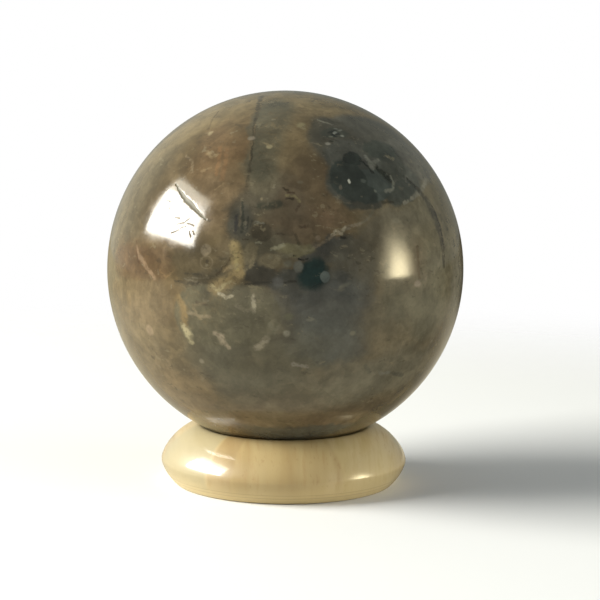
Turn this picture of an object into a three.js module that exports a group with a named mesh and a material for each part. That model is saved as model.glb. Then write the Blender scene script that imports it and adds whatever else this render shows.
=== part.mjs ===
// A polished stone ball resting on a turned wooden ring stand.
// Millimetres, +Z up. The origin is the centre of the stand's foot, on the surface it stands on.
import * as THREE from 'three';

// Driving dimensions.
const BALL_RADIUS = 40;
const RING_OUTER_RADIUS = 27.8;
const RING_HOLE_RADIUS = 11.2;
const SECTION_HALF_HEIGHT = 7.9; // from the middle of the section to its crest, before the foot is cut
const SECTION_POWER = 1.55; // 2 is an ellipse, 1 a diamond: a plump lozenge lies between them
const FOOT_DEPTH = 5.2; // from the middle of the section down to the flat foot

// How finely the round surfaces are faceted. Both pieces use the same turns, so their facets line up
// and the ball rests on the ring without cutting into it.
const TURNS = 64;
const BALL_STEPS = 28;
const SECTION_STEPS = 24;

// Worked out from the driving dimensions.
const sectionRadius = (RING_OUTER_RADIUS + RING_HOLE_RADIUS) / 2;
const sectionHalfWidth = (RING_OUTER_RADIUS - RING_HOLE_RADIUS) / 2;
const footAngle = Math.asin((FOOT_DEPTH / SECTION_HALF_HEIGHT) ** (SECTION_POWER / 2));

// A point of the ring's section at an angle round its middle: x is the distance from the axis, y the height.
function sectionPoint(angle) {
  const swell = (wave, size) => Math.sign(wave) * size * Math.abs(wave) ** (2 / SECTION_POWER);
  return new THREE.Vector2(
    sectionRadius + swell(Math.cos(angle), sectionHalfWidth),
    FOOT_DEPTH + swell(Math.sin(angle), SECTION_HALF_HEIGHT),
  );
}

// The section's rounded outline, from the foot's outer edge over the crest to its inner edge.
function sectionOutline(steps) {
  const points = [];
  for (let i = 0; i <= steps; i++) {
    points.push(sectionPoint(THREE.MathUtils.lerp(-footAngle, Math.PI + footAngle, i / steps)));
  }
  return points;
}

// The height of the ball's centre when it settles on the ring: the lowest one that clears the whole section.
function restingHeight() {
  const heights = sectionOutline(SECTION_STEPS ** 2).map((p) => p.y + Math.sqrt(BALL_RADIUS ** 2 - p.x ** 2));
  return Math.max(...heights);
}

// A profile turned round the Z axis.
function turned(profile) {
  return new THREE.LatheGeometry(profile, TURNS).rotateX(Math.PI / 2);
}

function ringStand() {
  const outline = sectionOutline(SECTION_STEPS);
  const material = new THREE.MeshStandardMaterial({ color: 0xc8ab72, roughness: 0.3, metalness: 0 });
  const mesh = new THREE.Mesh(turned([...outline, outline[0]]), material);
  mesh.name = 'ring_stand';
  return mesh;
}

function stoneBall() {
  const profile = [];
  for (let i = 0; i <= BALL_STEPS; i++) {
    const angle = (Math.PI * i) / BALL_STEPS;
    const fromAxis = i === BALL_STEPS ? 0 : BALL_RADIUS * Math.sin(angle);
    profile.push(new THREE.Vector2(fromAxis, -BALL_RADIUS * Math.cos(angle)));
  }
  const material = new THREE.MeshStandardMaterial({ color: 0x5c5340, roughness: 0.1, metalness: 0 });
  const mesh = new THREE.Mesh(turned(profile), material);
  mesh.name = 'stone_ball';
  mesh.position.z = restingHeight();
  return mesh;
}

const part = new THREE.Group();
part.add(ringStand(), stoneBall());

export default part;
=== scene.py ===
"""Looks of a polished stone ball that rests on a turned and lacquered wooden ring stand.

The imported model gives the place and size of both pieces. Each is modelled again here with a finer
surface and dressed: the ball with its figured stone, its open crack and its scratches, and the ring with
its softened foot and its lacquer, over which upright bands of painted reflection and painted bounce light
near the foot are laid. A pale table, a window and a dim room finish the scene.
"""

import logging
import math
from dataclasses import dataclass, field
from enum import Enum
from typing import Any, Callable, Mapping, Sequence, Union

import bpy
from mathutils import Euler, Matrix, Vector, noise


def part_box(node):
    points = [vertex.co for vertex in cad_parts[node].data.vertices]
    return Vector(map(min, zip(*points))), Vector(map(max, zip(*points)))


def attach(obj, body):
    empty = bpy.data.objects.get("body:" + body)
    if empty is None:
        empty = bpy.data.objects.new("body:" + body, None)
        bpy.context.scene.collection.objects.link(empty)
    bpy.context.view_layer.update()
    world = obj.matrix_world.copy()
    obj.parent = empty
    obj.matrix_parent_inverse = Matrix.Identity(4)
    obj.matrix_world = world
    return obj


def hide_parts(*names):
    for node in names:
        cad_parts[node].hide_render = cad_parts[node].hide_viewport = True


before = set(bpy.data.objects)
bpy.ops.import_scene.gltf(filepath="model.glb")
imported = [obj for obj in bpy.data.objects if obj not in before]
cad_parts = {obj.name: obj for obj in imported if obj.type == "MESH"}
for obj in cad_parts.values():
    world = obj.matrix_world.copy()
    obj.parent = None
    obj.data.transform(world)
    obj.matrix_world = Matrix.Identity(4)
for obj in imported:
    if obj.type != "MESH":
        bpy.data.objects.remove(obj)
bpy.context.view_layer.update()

MM = 0.001
BODY = "root"
LOG = logging.getLogger("ornament")


class Slot(Enum):
    """The record's material slots."""

    STONE = "polished_stone"
    WOOD = "lacquered_wood"


class Mark(Enum):
    """How a mark in the stone is filled."""

    SOLID = "solid"
    RING = "ring"


# --------------------------------------------------------------------------------------------------
# Writing shaders as expressions
# --------------------------------------------------------------------------------------------------

Number = Union[float, "Signal"]
Socket = bpy.types.NodeSocket
Span = tuple[float, float]
Triple = tuple[float, float, float]
Light = tuple[float, float, float, float]
Place = tuple[Triple, Triple, Triple]
Edges = tuple[Span, ...]
ORIGIN: Triple = (0.0, 0.0, 0.0)


@dataclass(frozen=True)
class Tint:
    """A colour as the eye names it, each channel from 0 to 255."""

    red: float
    green: float
    blue: float

    def linear(self) -> Light:
        """Gives the colour as light adds it, with full alpha."""
        channels = (value / 255 for value in (self.red, self.green, self.blue))
        return (*(_to_linear(value) for value in channels), 1.0)


def _to_linear(value: float) -> float:
    """Undoes a screen's response curve.

    Args:
        value: A channel as shown, from 0 to 1.

    Returns:
        The channel as light adds it.
    """
    if value <= 0.04045:
        return value / 12.92
    return ((value + 0.055) / 1.055) ** 2.4


@dataclass(frozen=True)
class Signal:
    """A number that varies over a surface; arithmetic on it adds Math nodes."""

    tree: "ShaderTree"
    socket: Socket

    def _math(self, operation: str, first: Number, second: Number) -> "Signal":
        """Adds a Math node.

        Args:
            operation: The node's operation.
            first: Its first value.
            second: Its second value.

        Returns:
            The node's result.
        """
        made = self.tree.node("Math", {"operation": operation}, {0: first, 1: second})
        return Signal(self.tree, made.outputs[0])

    def __add__(self, other: Number) -> "Signal":
        """Adds a number."""
        return self._math("ADD", self, other)

    def __radd__(self, other: Number) -> "Signal":
        """Adds this to a plain number."""
        return self._math("ADD", other, self)

    def __sub__(self, other: Number) -> "Signal":
        """Takes a number away."""
        return self._math("SUBTRACT", self, other)

    def __rsub__(self, other: Number) -> "Signal":
        """Takes this from a plain number."""
        return self._math("SUBTRACT", other, self)

    def __mul__(self, other: Number) -> "Signal":
        """Multiplies by a number."""
        return self._math("MULTIPLY", self, other)

    def __rmul__(self, other: Number) -> "Signal":
        """Multiplies a plain number by this."""
        return self._math("MULTIPLY", other, self)

    def least(self, other: Number) -> "Signal":
        """Gives the smaller of the two."""
        return self._math("MINIMUM", self, other)

    def most(self, other: Number) -> "Signal":
        """Gives the larger of the two."""
        return self._math("MAXIMUM", self, other)

    def size(self) -> "Signal":
        """Gives the number without its sign."""
        return self._math("ABSOLUTE", self, 0.0)

    def eased(self, start: float, end: float, low: float = 0.0, high: float = 1.0) -> "Signal":
        """Runs smoothly from low to high while this runs from start to end, and stays there outside.

        Args:
            start: Where the run starts; it may be above end.
            end: Where the run ends.
            low: The result at start.
            high: The result at end.

        Returns:
            The eased number.
        """
        settings = {"interpolation_type": "SMOOTHSTEP"}
        inputs = {"Value": self, "From Min": start, "From Max": end, "To Min": low, "To Max": high}
        return Signal(self.tree, self.tree.node("MapRange", settings, inputs).outputs["Result"])


class ShaderTree:
    """The nodes of a material or a world. Every node is made by the node method."""

    MIX_FACTOR = 0
    MIX_UNDER = 6
    MIX_OVER = 7
    MIX_RESULT = 2

    def __init__(self, owner: Union[bpy.types.Material, bpy.types.World]) -> None:
        """Starts an empty tree.

        Args:
            owner: The material or world that the tree belongs to.
        """
        self.owner = owner
        owner.use_nodes = True
        owner.node_tree.nodes.clear()

    def node(
        self, kind: str, settings: Mapping[str, Any] = {}, inputs: Mapping[Any, Any] = {}
    ) -> bpy.types.Node:
        """Adds a node.

        Args:
            kind: The node's type, without the word that all of them start with.
            settings: Its properties; "stops" holds a ramp's positions and colours.
            inputs: Its sockets by name or number, each a Signal, another node's socket or a value.

        Returns:
            The new node.
        """
        made = self.owner.node_tree.nodes.new("ShaderNode" + kind)
        for name, value in settings.items():
            if name == "stops":
                self._set_stops(made.color_ramp, value)
            else:
                setattr(made, name, value)
        for name, value in inputs.items():
            source = value.socket if isinstance(value, Signal) else value
            if isinstance(source, Socket):
                self.owner.node_tree.links.new(source, made.inputs[name])
            else:
                made.inputs[name].default_value = source
        return made

    @staticmethod
    def _set_stops(ramp: bpy.types.ColorRamp, stops: Sequence[tuple[float, Tint]]) -> None:
        """Fills a colour ramp.

        Args:
            ramp: The ramp.
            stops: Each stop's position and colour, from low to high.
        """
        while len(ramp.elements) < len(stops):
            ramp.elements.new(1.0)
        for element, (position, tint) in zip(ramp.elements, stops):
            element.position = position
            element.color = tint.linear()

    def mix(self, factor: Number, under: Any, over: Any, blend_type: str = "MIX") -> Socket:
        """Lays one colour over another.

        Args:
            factor: How much of the upper colour shows, from 0 to 1.
            under: The lower colour, a socket or four numbers.
            over: The upper colour.
            blend_type: How the two are combined.

        Returns:
            The mixed colour.
        """
        settings = {"data_type": "RGBA", "blend_type": blend_type, "clamp_factor": True}
        inputs = {self.MIX_FACTOR: factor, self.MIX_UNDER: under, self.MIX_OVER: over}
        return self.node("Mix", settings, inputs).outputs[self.MIX_RESULT]

    def vector(self, operation: str, *inputs: Any) -> Socket:
        """Adds a Vector Math node that gives a vector.

        Args:
            operation: The node's operation.
            *inputs: Its vectors, each a socket or three numbers.

        Returns:
            The vector.
        """
        made = self.node("VectorMath", {"operation": operation}, dict(enumerate(inputs)))
        return made.outputs["Vector"]

    def length(self, operation: str, *inputs: Any) -> Signal:
        """Adds a Vector Math node that gives a number.

        Args:
            operation: LENGTH, DISTANCE or DOT_PRODUCT.
            *inputs: Its vectors, each a socket or three numbers.

        Returns:
            The number.
        """
        made = self.node("VectorMath", {"operation": operation}, dict(enumerate(inputs)))
        return Signal(self, made.outputs["Value"])

    def scaled(self, vector: Any, amount: Number) -> Socket:
        """Multiplies a vector, or a colour, by a number."""
        made = self.node("VectorMath", {"operation": "SCALE"}, {0: vector, "Scale": amount})
        return made.outputs["Vector"]

    def parts(self, vector: Socket) -> tuple[Signal, Signal, Signal]:
        """Gives a vector's three numbers."""
        made = self.node("SeparateXYZ", {}, {"Vector": vector})
        return tuple(Signal(self, made.outputs[name]) for name in "XYZ")

    def ramp(self, value: Signal, stops: Sequence[tuple[float, Tint]]) -> Socket:
        """Turns a number into a colour, through stops from low to high."""
        return self.node("ValToRGB", {"stops": stops}, {"Fac": value}).outputs["Color"]

    def bumped(self, height: Signal, strength: float, depth: float) -> Socket:
        """Gives the normal of a surface that a height raises.

        Args:
            height: The height, from 0 to 1.
            strength: How much of it shows.
            depth: What a height of 1 stands for, in metres.

        Returns:
            The normal.
        """
        made = self.node("Bump", {}, {"Height": height, "Strength": strength, "Distance": depth})
        return made.outputs["Normal"]

    def camera_ray(self) -> Signal:
        """Gives 1 where a thing is seen directly, and 0 where it lights or is mirrored."""
        return Signal(self, self.node("LightPath").outputs["Is Camera Ray"])

    def placed(
        self, point: Socket, centre: Sequence[float], turn: Sequence[float], scale: Sequence[float]
    ) -> Socket:
        """Gives a point in a pattern's own place, turn and units.

        Args:
            point: The point on the piece.
            centre: The pattern's middle.
            turn: Its Euler angles.
            scale: The size of its unit along each of its axes.

        Returns:
            The point as the pattern counts it.
        """
        inputs = {"Vector": point, "Location": centre, "Rotation": turn, "Scale": scale}
        return self.node("Mapping", {"vector_type": "TEXTURE"}, inputs).outputs["Vector"]

    def moved(self, point: Socket, start: Sequence[float]) -> Socket:
        """Gives a point counted from another start, which picks another part of a pattern."""
        return self.placed(point, start, ORIGIN, (1.0, 1.0, 1.0))

    def noise(
        self, point: Any, scale: float, detail: float = 4.0, roughness: float = 0.55, twist: float = 0.0
    ) -> bpy.types.Node:
        """Adds a noise texture.

        Args:
            point: Where it is read.
            scale: How fine it is.
            detail: How many finer layers it has.
            roughness: How strong the finer layers are.
            twist: How far it is distorted.

        Returns:
            The node, with its Fac and Color outputs.
        """
        inputs = {"Vector": point, "Scale": scale, "Detail": detail, "Roughness": roughness}
        return self.node("TexNoise", {}, {**inputs, "Distortion": twist})

    def grey_noise(
        self, point: Any, scale: float, detail: float = 4.0, roughness: float = 0.55, twist: float = 0.0
    ) -> Signal:
        """Adds a noise texture, as noise does, and gives its one number.

        Args:
            point: Where it is read.
            scale: How fine it is.
            detail: How many finer layers it has.
            roughness: How strong the finer layers are.
            twist: How far it is distorted.

        Returns:
            The number, which is mostly between 0.3 and 0.7.
        """
        return Signal(self, self.noise(point, scale, detail, roughness, twist).outputs["Fac"])

    def cells(self, point: Socket, scale: float) -> tuple[Signal, Signal]:
        """Adds a pattern of cells.

        Args:
            point: Where it is read.
            scale: How fine it is.

        Returns:
            How far the point is from the middle of its cell, and a number drawn for the cell.
        """
        made = self.node("TexVoronoi", {}, {"Vector": point, "Scale": scale})
        return Signal(self, made.outputs["Distance"]), self.parts(made.outputs["Color"])[0]

    def stirred(self, point: Socket, scale: float, reach: float) -> Socket:
        """Moves each point a little, so that straight edges turn ragged.

        Args:
            point: The point.
            scale: How fine the movement is.
            reach: How far it goes at most, to each side.

        Returns:
            The moved point.
        """
        drift = self.vector("SUBTRACT", self.noise(point, scale).outputs["Color"], (0.5, 0.5, 0.5))
        return self.vector("MULTIPLY_ADD", drift, (2 * reach,) * 3, point)

    def torn(self, point: Socket, edges: Edges) -> Socket:
        """Stirs a point several times over.

        Args:
            point: The point.
            edges: For each time, how fine the movement is and how far it goes.

        Returns:
            The moved point.
        """
        for scale, reach in edges:
            point = self.stirred(point, scale, reach)
        return point

    def finish(self, surface: Mapping[str, Any]) -> bpy.types.Material:
        """Ends the tree in a Principled surface.

        Args:
            surface: The shader's sockets.

        Returns:
            The material.
        """
        shader = self.node("BsdfPrincipled", {}, surface)
        self.node("OutputMaterial", {}, {"Surface": shader.outputs["BSDF"]})
        return self.owner


# --------------------------------------------------------------------------------------------------
# Modelling helpers
# --------------------------------------------------------------------------------------------------


def select_only(piece: bpy.types.Object) -> None:
    """Selects one object and makes it the active one.

    Args:
        piece: The object.
    """
    bpy.ops.object.select_all(action="DESELECT")
    piece.select_set(True)
    bpy.context.view_layer.objects.active = piece


def select_points(piece: bpy.types.Object, wanted: Callable[[bpy.types.MeshVertex], bool]) -> None:
    """Selects some of a mesh's points, for edit mode, and nothing else of it.

    Args:
        piece: The piece, in object mode.
        wanted: Tells whether a point is to be selected.
    """
    bpy.context.tool_settings.mesh_select_mode = (True, False, False)
    for group in (piece.data.polygons, piece.data.edges):
        group.foreach_set("select", [False] * len(group))
    for vertex in piece.data.vertices:
        vertex.select = wanted(vertex)


def apply_modifier(piece: bpy.types.Object, kind: str, **settings: Any) -> None:
    """Adds a modifier to a piece and applies it.

    Args:
        piece: The piece.
        kind: The modifier's type.
        **settings: Its properties.
    """
    select_only(piece)
    modifier = piece.modifiers.new(kind.lower(), kind)
    for name, value in settings.items():
        setattr(modifier, name, value)
    bpy.ops.object.modifier_apply(modifier=modifier.name)


def set_down(piece: bpy.types.Object, place: Vector) -> None:
    """Moves a piece that was made at the origin to its place, which goes into its mesh.

    Args:
        piece: The piece.
        place: Where its middle goes.
    """
    select_only(piece)
    piece.location = place
    bpy.ops.object.transform_apply(location=True, rotation=True, scale=True)


def hand_over(piece: bpy.types.Object, node: str, finish: bpy.types.Material) -> None:
    """Dresses a finished piece and puts it in its CAD node's place.

    Args:
        piece: The piece.
        node: The CAD node that it stands for.
        finish: Its material.
    """
    piece.data.materials.clear()
    piece.data.materials.append(finish)
    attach(piece, BODY)
    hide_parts(node)
    LOG.info("%s: %d faces, %s", piece.name, len(piece.data.polygons), finish.name)


# --------------------------------------------------------------------------------------------------
# The figure of the stone
# --------------------------------------------------------------------------------------------------


def heading(turn: float, rise: float) -> Vector:
    """Gives a direction from the ball's centre.

    Args:
        turn: Degrees to the right of the front, which is -Y.
        rise: Degrees above the ball's middle.

    Returns:
        The direction, of length 1.
    """
    turned, risen = math.radians(turn), math.radians(rise)
    level = math.cos(risen)
    return Vector((math.sin(turned) * level, -math.cos(turned) * level, math.sin(risen)))


@dataclass(frozen=True)
class Patch:
    """A patch of another colour. Angles are in degrees: width and height are half its breadth."""

    turn: float
    rise: float
    width: float
    height: float
    tint: Tint
    strength: float = 1.0
    edge: float = 0.5
    lean: float = 0.0
    form: Mark = Mark.SOLID

    # How deep it reaches into the stone, in radii of the ball.
    DEPTH = 0.6

    def mask(self, tree: ShaderTree, point: Socket) -> Signal:
        """Gives how much of the patch shows at a point.

        Args:
            tree: The stone's shader.
            point: The direction from the ball's centre.

        Returns:
            A number from 0 to the patch's strength.
        """
        middle = heading(self.turn, self.rise)
        east = Vector((0, 0, 1)).cross(middle).normalized()
        ahead = Matrix.Rotation(math.radians(self.lean), 3, middle) @ east
        across = middle.cross(ahead)
        axes = (ahead / math.radians(self.width), across / math.radians(self.height), middle / self.DEPTH)
        counted = {name: tree.length("DOT_PRODUCT", point, tuple(axis)) for name, axis in zip("XYZ", axes)}
        local = tree.node("CombineXYZ", {}, counted).outputs["Vector"]
        away = tree.length("DISTANCE", local, (0.0, 0.0, 1 / self.DEPTH))
        if self.form is Mark.RING:
            away = (away - 1.0).size() + 1.0
        return away.eased(1 + self.edge, 1 - self.edge, 0.0, self.strength)


@dataclass(frozen=True)
class Vein:
    """A thin line in the stone through several points, each with a turn, a rise and half a width."""

    tint: Tint
    points: tuple[Triple, ...]
    strength: float = 1.0
    edge: float = 0.6

    def mask(self, tree: ShaderTree, point: Socket) -> Signal:
        """Gives how much of the vein shows at a point.

        Args:
            tree: The stone's shader.
            point: The direction from the ball's centre.

        Returns:
            A number from 0 to the vein's strength.
        """
        nearest = None
        for start, end in zip(self.points, self.points[1:]):
            away = self._from_stretch(tree, point, start, end)
            nearest = away if nearest is None else nearest.least(away)
        return nearest.eased(1 + self.edge, 1 - self.edge, 0.0, self.strength)

    @staticmethod
    def _from_stretch(tree: ShaderTree, point: Socket, start: Triple, end: Triple) -> Signal:
        """Gives how far a point is from one straight stretch, counted in half widths.

        Args:
            tree: The stone's shader.
            point: The direction from the ball's centre.
            start: The stretch's first point.
            end: Its last point.

        Returns:
            The distance.
        """
        first, last = heading(*start[:2]), heading(*end[:2])
        middle = (first + last) / 2
        ahead = (last - first).normalized()
        reach = (last - first).length / 2
        along = tree.length("DOT_PRODUCT", point, tuple(ahead)).least(reach).most(-reach)
        on_line = tree.vector("ADD", tree.scaled(tuple(ahead), along), tuple(middle))
        half_width = math.radians((start[2] + end[2]) / 2)
        return tree.length("DISTANCE", point, on_line) * (1 / half_width)


# Each place is a turn, a rise and half the width there, in degrees.
CRACK = (
    (-43.6, 31.7, 0.22),
    (-41.2, 30, 0.38),
    (-38.6, 28.4, 0.55),
    (-36.4, 26.9, 0.75),
    (-33.9, 25.8, 0.85),
    (-32.1, 24.5, 0.7),
    (-30, 23, 0.5),
    (-28, 21.8, 0.35),
    (-26.4, 20.9, 0.22),
)
CRACK_MARK = Vein(Tint(97, 94, 78), CRACK, 0.9, edge=0.35)
SCRATCHES = (
    ((-44.9, 26, 0.12), (-42.7, 25.8, 0.16)),
    ((-42.9, 24.2, 0.12), (-42.2, 23.2, 0.16)),
    ((-38.8, 20.9, 0.12), (-36.6, 20.7, 0.2)),
    ((-37, 18.9, 0.16), (-34.6, 19.4, 0.22), (-32.8, 20.8, 0.14)),
    ((-35.4, 17.6, 0.18), (-33.6, 18.5, 0.14)),
    ((-39, 16, 0.18), (-37.4, 16.4, 0.32), (-36.2, 17, 0.16)),
    ((-31.7, 16.8, 0.14), (-31, 15.2, 0.26)),
    ((-33.2, 19.4, 0.16), (-30.4, 18.8, 0.14)),
    ((-30.6, 17.2, 0.14), (-29.8, 16.2, 0.18)),
)

REGIONS = (
    # The left side: tan and orange-brown.
    Patch(-52, 42, 30, 30, Tint(82, 69, 47), 0.75),
    Patch(-32, 60, 16, 12, Tint(101, 85, 56), 0.8),
    Patch(-42, 50, 9, 9, Tint(82, 69, 45), 0.7),
    Patch(-29, 46, 9, 16, Tint(91, 74, 53), 0.8),
    Patch(-68, 34, 12, 20, Tint(80, 72, 54), 0.85),
    Patch(-24, 27, 10, 10, Tint(97, 83, 63), 0.8),
    Patch(-72, 4, 13, 32, Tint(95, 86, 67), 0.8),
    Patch(-52, 5, 14, 7, Tint(97, 77, 52), 0.9, lean=-12),
    Patch(-44, -7, 13, 10, Tint(98, 85, 62), 0.9),
    Patch(-37, -5, 5, 7, Tint(103, 86, 57), 0.5),
    Patch(-38, 9, 7, 5, Tint(91, 76, 54), 0.8, edge=0.25),
    Patch(-29, 7, 9, 6, Tint(76, 68, 51), 0.9, edge=0.35),
    Patch(-24, 3, 8, 3, Tint(66, 61, 49), 0.8, edge=0.3),
    Patch(-54, -24, 16, 15, Tint(104, 92, 70), 0.8),
    Patch(-42, -37, 13, 9, Tint(116, 100, 74), 0.7),
    Patch(-37, -20, 7, 7, Tint(90, 79, 58), 0.7),
    Patch(-27, -19, 8, 9, Tint(94, 88, 71), 0.7),
    Patch(-36, -50, 14, 7, Tint(110, 90, 62), 0.7),
    # The crown.
    Patch(0, 74, 60, 9, Tint(112, 99, 72), 0.8),
    Patch(-25, 60, 6, 9, Tint(84, 72, 50), 0.6),
    Patch(-8, 58, 7, 15, Tint(69, 65, 52), 0.9, edge=0.2),
    Patch(-7, 38, 7, 13, Tint(76, 73, 60), 0.85, edge=0.25),
    Patch(4, 52, 10, 15, Tint(99, 87, 64), 0.85),
    Patch(12, 42, 6, 8, Tint(86, 75, 56), 0.6),
    # The warm middle.
    Patch(10, 30, 10, 13, Tint(82, 71, 54), 0.9),
    Patch(13, 22, 8, 5, Tint(91, 77, 59), 0.7),
    Patch(0, 24, 7, 9, Tint(76, 68, 55), 0.85),
    Patch(3, 18, 8, 4, Tint(80, 70, 55), 0.7),
    Patch(-14, 22, 5, 9, Tint(62, 59, 50), 0.85, edge=0.3),
    Patch(-9, 29, 5, 7, Tint(80, 75, 62), 0.6),
    # Slate, from the middle to the lower right.
    Patch(-5, 13, 9, 5, Tint(72, 69, 57), 0.85),
    Patch(-8, 5, 7, 4, Tint(54, 52, 46), 0.9, edge=0.3),
    Patch(14, 13, 9, 4, Tint(58, 59, 56), 0.9, edge=0.25, lean=14),
    Patch(21, 8, 8, 8, Tint(74, 72, 63), 0.9, edge=0.3),
    Patch(12, -3, 14, 8, Tint(70, 73, 72), 0.9),
    Patch(13, -15, 13, 9, Tint(72, 76, 74), 0.85),
    Patch(2, 3, 6, 4, Tint(64, 65, 61), 0.85, edge=0.3),
    Patch(-10, -7, 10, 6, Tint(95, 92, 77), 0.7),
    Patch(-10, -22, 17, 11, Tint(86, 85, 72), 0.75),
    Patch(2, -34, 24, 8, Tint(96, 94, 82), 0.6),
    Patch(0, -41, 12, 6, Tint(120, 111, 93), 0.6),
    Patch(0, -48, 26, 6, Tint(106, 95, 78), 0.7),
    Patch(24, -49, 12, 5, Tint(98, 84, 68), 0.7),
    # The right side: olive.
    Patch(54, 11, 13, 22, Tint(101, 96, 78), 0.85),
    Patch(71, 12, 9, 26, Tint(96, 91, 74), 0.8),
    Patch(37, 19, 11, 7, Tint(100, 95, 80), 0.85),
    Patch(27, 13, 7, 8, Tint(78, 74, 62), 0.8),
    Patch(46, 5, 4, 8, Tint(96, 84, 66), 0.7),
    Patch(35, 2, 6, 7, Tint(88, 85, 71), 0.6),
    Patch(51, 2, 8, 8, Tint(108, 104, 88), 0.6),
    Patch(70, -1, 6, 9, Tint(128, 124, 110), 0.7),
    Patch(44, -9, 16, 9, Tint(98, 95, 80), 0.8),
    Patch(36, -15, 9, 5, Tint(95, 87, 69), 0.8),
    Patch(42, -28, 17, 8, Tint(98, 95, 82), 0.7),
    Patch(25, -33, 11, 8, Tint(97, 94, 81), 0.6),
    # A blue-grey band at the very bottom, next to the ring: partly the stone's slate, partly painted shade
    # where the ball sits in the ring.
    Patch(8, -57, 19, 5, Tint(70, 74, 73), 0.85, edge=0.3),
)

SLATE = (
    # The slate patch at the upper right, with its black pieces.
    Patch(44, 50, 21, 12, Tint(73, 73, 66), 0.92, edge=0.14),
    Patch(23.5, 51, 8, 10, Tint(68, 66, 57), 0.9, edge=0.14),
    Patch(29, 43, 10, 7, Tint(70, 71, 65), 0.9, edge=0.12),
    Patch(60, 40, 13, 9, Tint(90, 89, 81), 0.9, edge=0.2),
    Patch(27, 33.5, 10.5, 9, Tint(60, 62, 57), 0.92, edge=0.1),
    Patch(45.5, 34, 11, 7, Tint(82, 84, 77), 0.92, edge=0.1),
    Patch(47.5, 39.5, 5.5, 6, Tint(60, 62, 55), 0.85, edge=0.2, lean=-35),
    Patch(46, 45, 7, 4, Tint(56, 61, 55), 0.8, edge=0.2),
    Patch(48, 22.6, 12, 4, Tint(88, 85, 72), 0.5),
    Patch(45.5, 29.6, 7.5, 3.8, Tint(64, 67, 61), 0.95, edge=0.12, lean=16),
    Patch(28.5, 27.4, 5, 3.2, Tint(63, 62, 54), 0.9, edge=0.14),
    Patch(33.6, 32.8, 7, 5.4, Tint(62, 68, 64), 0.95, edge=0.08),
    Patch(23.6, 34.4, 6, 7, Tint(47, 52, 48), 0.95, edge=0.08),
    Patch(28, 30, 5, 3.6, Tint(48, 53, 49), 0.95, edge=0.1, lean=-30),
    Patch(28, 42, 3.2, 2.6, Tint(42, 47, 43), 0.95, edge=0.12),
    Patch(25, 53, 4.6, 2.6, Tint(58, 60, 53), 0.9, edge=0.2),
    # Dark green and black pieces in the middle.
    Patch(8.4, 7, 4.2, 3.4, Tint(28, 41, 39), 1.0, edge=0.3),
    Patch(8, 4, 4.4, 3.4, Tint(25, 40, 39), 1.0, edge=0.3),
    Patch(-8.4, 33.6, 4.4, 4.2, Tint(90, 84, 67), 0.5, edge=0.3),
    Patch(-7.1, 18, 3.4, 2.8, Tint(59, 54, 43), 0.9, edge=0.12),
    Patch(-14.6, 21, 3.4, 5, Tint(64, 63, 56), 0.75, edge=0.3),
    Patch(13.2, 21.7, 2.3, 3, Tint(99, 83, 65), 0.5, edge=0.2),
    Patch(3, 12.8, 5.5, 1.8, Tint(92, 88, 67), 0.85, edge=0.25),
    Patch(-4.8, 9.3, 3, 2, Tint(95, 88, 70), 0.8, edge=0.25),
    Patch(-10.4, 11.4, 2, 3, Tint(95, 88, 69), 0.7, edge=0.25),
)

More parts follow.
